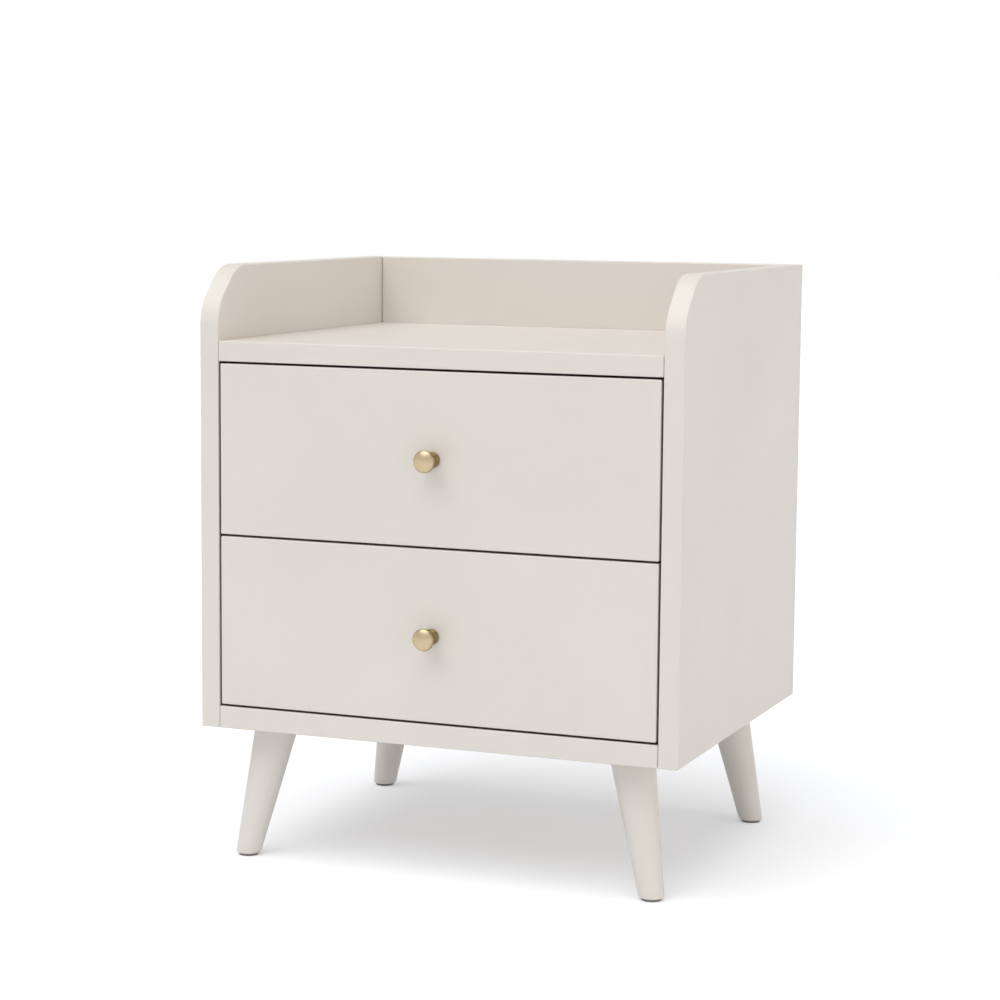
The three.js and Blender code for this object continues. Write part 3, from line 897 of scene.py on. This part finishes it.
for row in ("lower", "upper"):
    for side, outward in (("left", -1), ("right", 1)):
        stem = row + "_" + side
        for rail, body, opens, hole_radius in (
            ("cabinet_rail", "cabinet", -outward, 3.6 * mm),
            ("middle_rail", row + "_middle_rails", -outward, 2.6 * mm),
            ("drawer_rail", row + "_drawer", outward, 1.9 * mm),
        ):
            node = stem + "_" + rail
            low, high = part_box(node)
            form = channel_form(low, high, opens, web_holes(low, high, opens, hole_radius))
            finished_piece(node + "_rolled", form, rolled_zinc, body, [node])


# ---------------------------------------------------------------- slide balls, cages and screws
# Hardened steel balls run between the rails in thin plated cages, which travel with the middle rail.
# Countersunk screws hold the outer rail and pan-head screws the inner one, and a nylon lever lies in
# the inner rail to release the drawer.

ball_radius = 1.1 * mm
ball_pitch = 9.5 * mm
balls_in_row = 10
cage_sheet = 0.5 * mm
cage_width = 3.0 * mm
cage_length = balls_in_row * ball_pitch + 4 * mm
outer_cage_middle = 92 * mm
inner_cage_middle = -92 * mm
outer_cage_depth = 5.6 * mm
inner_cage_depth = 7.9 * mm
flush_head_radius = 3.4 * mm
pan_head_radius = 3.5 * mm
slide_screw_head = 2 * mm
cabinet_screw_length = 14 * mm
box_screw_length = 10 * mm
lever_half_sheet = 1.3 * mm
lever_inset = 1.2 * mm
lever_reach = (-104 * mm, -34 * mm)
lever_drop = (-9 * mm, -2 * mm)
lever_grip = (0, -8 * mm, 3 * mm)

polished_steel = plated_steel("polished_steel", (1, 1, 1))
drawn_cage = plated_steel("drawn_cage", (1, 0.05, 1))


def caged_row(middle):
    """A thin cage strip with a row of holes, and the balls that sit in them."""
    reach = Vector((cage_width / 2, cage_length / 2, cage_sheet / 2))
    strip = box_form(middle - reach, middle + reach)
    ease_edges(strip, strip.edges, 0.15 * mm, 2)
    holes, balls = [], []
    for count in range(balls_in_row):
        step = (count - (balls_in_row - 1) / 2) * ball_pitch
        place = middle + Vector((0, step, 0))
        holes.append(rod_form(place, ball_radius + 0.05 * mm, 2 * mm, "Z", 16))
        ball = bmesh.new()
        bmesh.ops.create_uvsphere(ball, u_segments=10, v_segments=6, radius=ball_radius)
        bmesh.ops.translate(ball, vec=place, verts=ball.verts)
        balls.append(ball)
    return cut_away(strip, [joined(holes)]), balls


def release_lever(middle_x, slide_z):
    """A flat lever whose front end turns up to a grip."""
    lever = box_form(
        (middle_x - lever_half_sheet, lever_reach[0], slide_z + lever_drop[0]),
        (middle_x + lever_half_sheet, lever_reach[1], slide_z + lever_drop[1]),
    )
    tip = [face for face in lever.faces if face.calc_center_median().y < lever_reach[0] + 0.1 * mm]
    grip = bmesh.ops.extrude_discrete_faces(lever, faces=tip)["faces"]
    bmesh.ops.translate(lever, vec=lever_grip, verts=grip[0].verts)
    ease_edges(lever, lever.edges, 0.6 * mm, 3)
    return lever


for row in ("lower", "upper"):
    for side, outward in (("left", -1), ("right", 1)):
        stem = row + "_" + side
        cabinet_low, cabinet_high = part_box(stem + "_cabinet_rail")
        middle_low, middle_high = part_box(stem + "_middle_rail")
        drawer_low, drawer_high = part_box(stem + "_drawer_rail")
        slide_z = (middle_low.z + middle_high.z) / 2
        slide_y = (middle_low.y + middle_high.y) / 2
        panel_x = cabinet_high.x if outward > 0 else cabinet_low.x
        outer_track = (cabinet_high.z - slide_sheet + middle_high.z) / 2 - slide_z
        inner_track = (middle_high.z - slide_sheet + drawer_high.z) / 2 - slide_z
        cages, balls = [], []
        for track, along, depth in (
            (outer_track, outer_cage_middle, outer_cage_depth),
            (inner_track, inner_cage_middle, inner_cage_depth),
        ):
            for level in (slide_z - track, slide_z + track):
                middle = Vector((panel_x - outward * depth, slide_y + along, level))
                cage, row_of_balls = caged_row(middle)
                cages.append(cage)
                balls += row_of_balls
        runner = row + "_middle_rails"
        finished_piece(stem + "_ball_cages", joined(cages), drawn_cage, runner, [])
        whole = joined(balls)
        finished_piece(stem + "_balls", whole, polished_steel, runner, [], sharp_above=80)

        flush, pan = [], []
        web_face = panel_x - outward * (slide_sheet - 0.05 * mm)
        box_web = drawer_low.x + slide_sheet if outward > 0 else drawer_high.x - slide_sheet
        for along in screw_hole_along:
            screw = flush_screw(
                flush_head_radius, slide_screw_head, screw_shank_radius, cabinet_screw_length
            )
            flush.append(set_along(screw, Vector((web_face, along, slide_z)), (-outward, 0, 0)))
            screw = pan_screw(pan_head_radius, slide_screw_head, screw_shank_radius, box_screw_length)
            pan.append(set_along(screw, Vector((box_web, along, slide_z)), (outward, 0, 0)))
        drawer = row + "_drawer"
        finished_piece(stem + "_cabinet_rail_screws", joined(flush), turned_zinc, "cabinet", [])
        finished_piece(stem + "_drawer_rail_screws", joined(pan), turned_zinc, drawer, [])

        lever = release_lever((drawer_low.x + drawer_high.x) / 2 - outward * lever_inset, slide_z)
        finished_piece(stem + "_release_lever", lever, nylon, drawer, [])


# ---------------------------------------------------------------- drawer fronts
# Two inset 18 mm boards, lacquered on every face, with softly eased edges. Each has one bore in the
# middle for the knob's screw and four blind ones in its back for the screws that hold it to the box.

front_ease = 1.2 * mm
knob_screw_bore = 2.3 * mm
bore_past_face = 2 * mm
fixing_screw_x = 125 * mm
fixing_screw_z = 28 * mm
fixing_screw_shank = 1.7 * mm
fixing_screw_bore = 1.9 * mm
fixing_screw_length = 24 * mm
fixing_head_radius = 3.6 * mm
fixing_head_height = 2.2 * mm
# The grey tone is painted shade on the drawer fronts' own edges inside the reveals.
front_lacquer = lacquered("front_lacquer", (0.50, 0.46, 0.42, 1))


def fixing_screw_seats(row):
    """Where the four fixing screws of a drawer front seat on the inside of the box."""
    low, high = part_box(row + "_drawer_box_front")
    middle = (low + high) / 2
    return [
        Vector((across * fixing_screw_x, high.y, middle.z + upward * fixing_screw_z))
        for across in (-1, 1)
        for upward in (-1, 1)
    ]


for row in ("lower", "upper"):
    node = row + "_drawer_front"
    low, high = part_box(node)
    form = box_form(low, high)
    ease_edges(form, form.edges, front_ease, 5)
    through = high.y - low.y + 2 * bore_past_face
    bores = [rod_form((low + high) / 2, knob_screw_bore, through, "Y")]
    for seat in fixing_screw_seats(row):
        centre = seat - Vector((0, fixing_screw_length / 2, 0))
        bores.append(rod_form(centre, fixing_screw_bore, fixing_screw_length + mm, "Y"))
    form = cut_away(form, bores)
    finished_piece(node + "_board", form, front_lacquer, row + "_drawer", [node])


# ---------------------------------------------------------------- drawer boxes
# Birch plywood walls, clear lacquered, with the plies showing on their cut edges. The ends stand
# between the sides on beech dowels sanded flush, and a groove round the inside holds the bottom.

plies_per_wall = 9
wall_thickness = 12 * mm


def ply_board():
    """Birch plywood: face grain along one direction, and glued plies across the thickness."""
    directions = {"Along": "Vector", "Through": "Vector", "Facing": "Vector"}
    tree, start, end = finish_group("ply_board", directions)
    place = start.outputs["Place"]
    along = vector_maths(tree, "DOT_PRODUCT", place, start.outputs["Along"])
    through = vector_maths(tree, "DOT_PRODUCT", place, start.outputs["Through"])
    sheet = tree.nodes.new("ShaderNodeCombineXYZ")
    tree.links.new(maths(tree, "MULTIPLY", along, 0.05), sheet.inputs[0])
    tree.links.new(maths(tree, "MULTIPLY", through, 0.4), sheet.inputs[1])
    tree.links.new(axes(tree, place)[2], sheet.inputs[2])

    figure = ranged(tree, noise(tree, sheet.outputs[0], 70, 5, 0.62), 0.32, 0.68, 0, 1)
    fibre = ranged(tree, noise(tree, sheet.outputs[0], 900, 2, 0.6), 0.42, 0.7, 0, 1)
    face_shade = weighed(tree, figure, 0.7, fibre, 0.3)
    face_tone = blended(tree, face_shade, (0.66, 0.50, 0.31, 1), (0.52, 0.36, 0.19, 1))

    ply_count = maths(tree, "MULTIPLY", through, plies_per_wall / wall_thickness)
    ply = maths(tree, "FRACT", maths(tree, "MULTIPLY", ply_count, 0.5))
    from_middle = maths(tree, "ABSOLUTE", maths(tree, "SUBTRACT", ply, 0.5))
    dark_ply = ranged(tree, from_middle, 0.22, 0.28, 0, 1)
    edge_tone = blended(tree, dark_ply, (0.60, 0.43, 0.25, 1), (0.36, 0.22, 0.11, 1))

    normal = tree.nodes.new("ShaderNodeNewGeometry").outputs["Normal"]
    turned = vector_maths(tree, "DOT_PRODUCT", normal, start.outputs["Facing"])
    on_face = ranged(tree, maths(tree, "ABSOLUTE", turned), 0.6, 0.75, 0, 1)
    tone = blended(tree, on_face, edge_tone, face_tone)
    relief = maths(tree, "SUBTRACT", figure, fibre)
    end_finish(tree, end, tone, ranged(tree, fibre, 0, 1, 0.42, 0.58), relief)
    return tree


ply_group = ply_board()


def ply_material(name, along, through):
    """Clear-lacquered plywood, its face grain running along one direction."""
    directions = {"Along": along, "Through": through, "Facing": through}
    material = finish_material(name, ply_group, directions, 0.04 * mm, 0.5)
    set_skin(material, {"Coat Weight": 0.25, "Coat Roughness": 0.25})
    return material


side_ply = ply_material("ply_side", (0, 1, 0), (1, 0, 0))
end_ply = ply_material("ply_end", (1, 0, 0), (0, 1, 0))
wall_ease = 1.2 * mm
box_dowel_radius = 3 * mm
box_dowel_length = 30 * mm
box_dowel_hole = 3.1 * mm
box_dowel_below_top = 16 * mm
box_dowel_above_foot = 18 * mm


def box_dowel_middles(row):
    """The middles of the eight dowels that hold a box together, two to a corner."""
    middles = []
    for end in ("box_front", "box_back"):
        end_low, end_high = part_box(row + "_drawer_" + end)
        for side in ("left_side", "right_side"):
            side_low, side_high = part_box(row + "_drawer_" + side)
            outside = side_low.x if side == "left_side" else side_high.x
            inward = box_dowel_length / 2 if side == "left_side" else -box_dowel_length / 2
            for level in (side_low.z + box_dowel_above_foot, side_high.z - box_dowel_below_top):
                middles.append(Vector((outside + inward, (end_low.y + end_high.y) / 2, level)))
    return middles


for row in ("lower", "upper"):
    bottom_low, bottom_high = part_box(row + "_drawer_bottom")
    for part, material in (
        ("left_side", side_ply),
        ("right_side", side_ply),
        ("box_front", end_ply),
        ("box_back", end_ply),
    ):
        node = row + "_drawer_" + part
        low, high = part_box(node)
        form = box_form(low, high)
        ease_edges(form, form.edges, wall_ease, 4)
        cutters = [box_form(bottom_low - groove_margin, bottom_high + groove_margin)]
        for middle in box_dowel_middles(row):
            beside_x = low.x - box_dowel_length / 2 < middle.x < high.x + box_dowel_length / 2
            beside_y = low.y < middle.y < high.y
            if beside_x and beside_y:
                cutters.append(rod_form(middle, box_dowel_hole, box_dowel_length + 2 * hole_fit, "X"))
        if part == "box_front":
            middle_y = (low.y + high.y) / 2
            through = high.y - low.y + 2 * bore_past_face
            screw = middle_of(row + "_knob_screw")
            cutters.append(rod_form((screw.x, middle_y, screw.z), knob_screw_bore, through, "Y"))
            for seat in fixing_screw_seats(row):
                cutters.append(rod_form((seat.x, middle_y, seat.z), fixing_screw_bore, through, "Y"))
        form = cut_away(form, cutters)
        finished_piece(node + "_wall", form, material, row + "_drawer", [node])

    pins = []
    for middle in box_dowel_middles(row):
        pin = rod_form(middle, box_dowel_radius, box_dowel_length, "X")
        ends = [edge for edge in pin.edges if run_x(edge) < 0.01 * mm]
        ease_edges(pin, ends, 0.3 * mm, 2)
        pins.append(pin)
    drawer = row + "_drawer"
    finished_piece(drawer + "_box_dowels", joined(pins), beech, drawer, [])

    screws = []
    for seat in fixing_screw_seats(row):
        screw = pan_screw(
            fixing_head_radius, fixing_head_height, fixing_screw_shank, fixing_screw_length
        )
        screws.append(set_along(screw, seat, (0, 1, 0)))
    finished_piece(drawer + "_front_screws", joined(screws), turned_zinc, drawer, [])


# ---------------------------------------------------------------- drawer bottoms
# Thin hardboard sheets, faced off-white like the back panel. Each sits in the groove round its box,
# which is glued up around it.

for row in ("lower", "upper"):
    node = row + "_drawer_bottom"
    form = box_form(*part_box(node))
    ease_edges(form, form.edges, sheet_ease, 2)
    finished_piece(node + "_sheet", form, faced_board, row + "_drawer", [node])


# ---------------------------------------------------------------- knobs
# Solid brass, turned in one piece and brushed: a small rosette against the drawer, a waisted neck and a
# domed head with a soft rim. The rim, the neck and the rosette are painted darker as shade; the dome
# keeps the bright brass tone.

knob_base_radius = 6.9 * mm
knob_base_round = 0.9 * mm
knob_neck_radius = 4.2 * mm
neck_from, neck_middle, neck_to = 2.0 * mm, 8.6 * mm, 16.6 * mm
neck_flare = 7.2 * mm
knob_head_radius = 9.8 * mm
knob_rim_radius = 2.0 * mm
knob_rim_turn = 62
knob_bore_radius = 2.3 * mm
knob_bore_depth = 10.6 * mm


def turned_metal():
    """Brass with fine lathe rings round an axis, painted darker as shade at the waist and rim, and
    bright on the dome.
    """
    waist_sockets = {"Waist From": "Float", "Waist To": "Float", "Waist Tone": "Color"}
    own_sockets = {"Centre": "Vector", **waist_sockets, **tone_sockets}
    tree, start, end = finish_group("turned_metal", own_sockets)
    offset = vector_maths(tree, "SUBTRACT", start.outputs["Place"], start.outputs["Centre"])
    across, along, upward = axes(tree, offset)
    squares = (maths(tree, "POWER", across, 2), maths(tree, "POWER", upward, 2))
    radius = maths(tree, "SQRT", maths(tree, "ADD", *squares))
    ring_place = tree.nodes.new("ShaderNodeCombineXYZ")
    tree.links.new(radius, ring_place.inputs[0])
    tree.links.new(along, ring_place.inputs[1])
    rings = ranged(tree, noise(tree, ring_place.outputs[0], 2600, 3, 0.65), 0.3, 0.7, 0, 1)
    patina = ranged(tree, noise(tree, start.outputs["Place"], 130, 3, 0.6), 0.3, 0.75, 0, 1)
    shade = weighed(tree, rings, 0.3, patina, 0.7)
    waist = tree.nodes.new("ShaderNodeMapRange")
    waist.interpolation_type = "SMOOTHSTEP"
    tree.links.new(along, waist.inputs["Value"])
    tree.links.new(start.outputs["Waist From"], waist.inputs["From Min"])
    tree.links.new(start.outputs["Waist To"], waist.inputs["From Max"])
    # Painted shade: the head's rim and the waist (neck and rosette) blend towards the dark Waist Tone.
    rim_shade = ranged(tree, radius, knob_head_radius - 1.5 * mm, knob_head_radius, 0, 0.9)
    rim_and_waist_shade = maths(tree, "MAXIMUM", waist.outputs["Result"], rim_shade)
    tone = blended(tree, rim_and_waist_shade, tone_at(tree, start, shade), start.outputs["Waist Tone"])
    end_finish(tree, end, tone, sheen_at(tree, start, shade), rings)
    return tree


ring_group = turned_metal()


def brushed_brass(name, centre):
    """Brushed brass, its rings centred on one knob."""
    values = {
        "Centre": centre,
        "Waist From": -5 * mm,
        "Waist To": 2 * mm,
        # The waist tone is painted shade on the neck and rosette under the head, and on the rim.
        "Waist Tone": (0.27, 0.20, 0.09, 1),
        **tones(light=(0.80, 0.65, 0.43), deep=(0.67, 0.52, 0.31), sheen=(0.28, 0.38)),
    }
    material = finish_material(name, ring_group, values, 0.004 * mm, 0.6)
    set_skin(material, {"Metallic": 1})
    return material


def knob_profile(projection):
    """Radius and height of the knob, from its bore, round the outside, to the middle of its head."""
    points = [(0, knob_bore_depth), (knob_bore_radius, knob_bore_depth), (knob_bore_radius, 0)]
    points += [(knob_base_radius - 0.5 * mm, 0)]
    base_centre = (knob_base_radius - knob_base_round, knob_base_round)
    points += arc(base_centre, knob_base_round, -60, 90, 10)
    points += [(knob_base_radius - 1.6 * mm, 1.9 * mm)]
    for step in range(13):
        height = neck_from + (neck_to - neck_from) * step / 12
        lift = abs(height - neck_middle) / neck_flare
        swell = 1.5 * mm * lift**2 + 4.4 * mm * max(0, lift - 0.62) ** 1.6
        points.append((knob_neck_radius + swell, height))
    rim_turn = math.radians(knob_rim_turn)
    dome_reach = knob_head_radius - knob_rim_radius * (1 - math.cos(rim_turn))
    dome_rise = dome_reach / 2 / math.tan(rim_turn)
    rim_height = projection - dome_rise - knob_rim_radius * math.sin(rim_turn)
    rim_centre = (knob_head_radius - knob_rim_radius, rim_height)
    points += arc(rim_centre, knob_rim_radius, -55, knob_rim_turn, 16)
    for step in range(1, 9):
        share = 1 - step / 8
        points.append((dome_reach * share, projection - dome_rise * share**2))
    return points


for row in ("lower", "upper"):
    node = row + "_knob"
    low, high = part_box(node)
    form = lathe(knob_profile(high.y - low.y), 96)
    centre = (low + high) / 2
    outward = Matrix.Translation((centre.x, high.y, centre.z)) @ Matrix.Rotation(math.pi / 2, 4, "X")
    bmesh.ops.transform(form, matrix=outward, verts=form.verts)
    material = brushed_brass(row + "_knob_brass", centre)
    finished_piece(node + "_turned", form, material, row + "_drawer", [node])


# ---------------------------------------------------------------- knob screws
# Pan-head machine screws with a cross recess, driven from inside the drawer through the box and the
# front into the knob.

knob_screw_head_radius = 4 * mm
knob_screw_head_height = 2.4 * mm
knob_screw_shank_radius = 2 * mm

for row in ("lower", "upper"):
    node = row + "_knob_screw"
    low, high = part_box(node)
    shank = high.y - low.y - knob_screw_head_height
    form = pan_screw(knob_screw_head_radius, knob_screw_head_height, knob_screw_shank_radius, shank)
    centre = (low + high) / 2
    seat = Vector((centre.x, high.y - knob_screw_head_height, centre.z))
    set_along(form, seat, (0, 1, 0))
    finished_piece(node + "_driven", form, turned_zinc, row + "_drawer", [node])
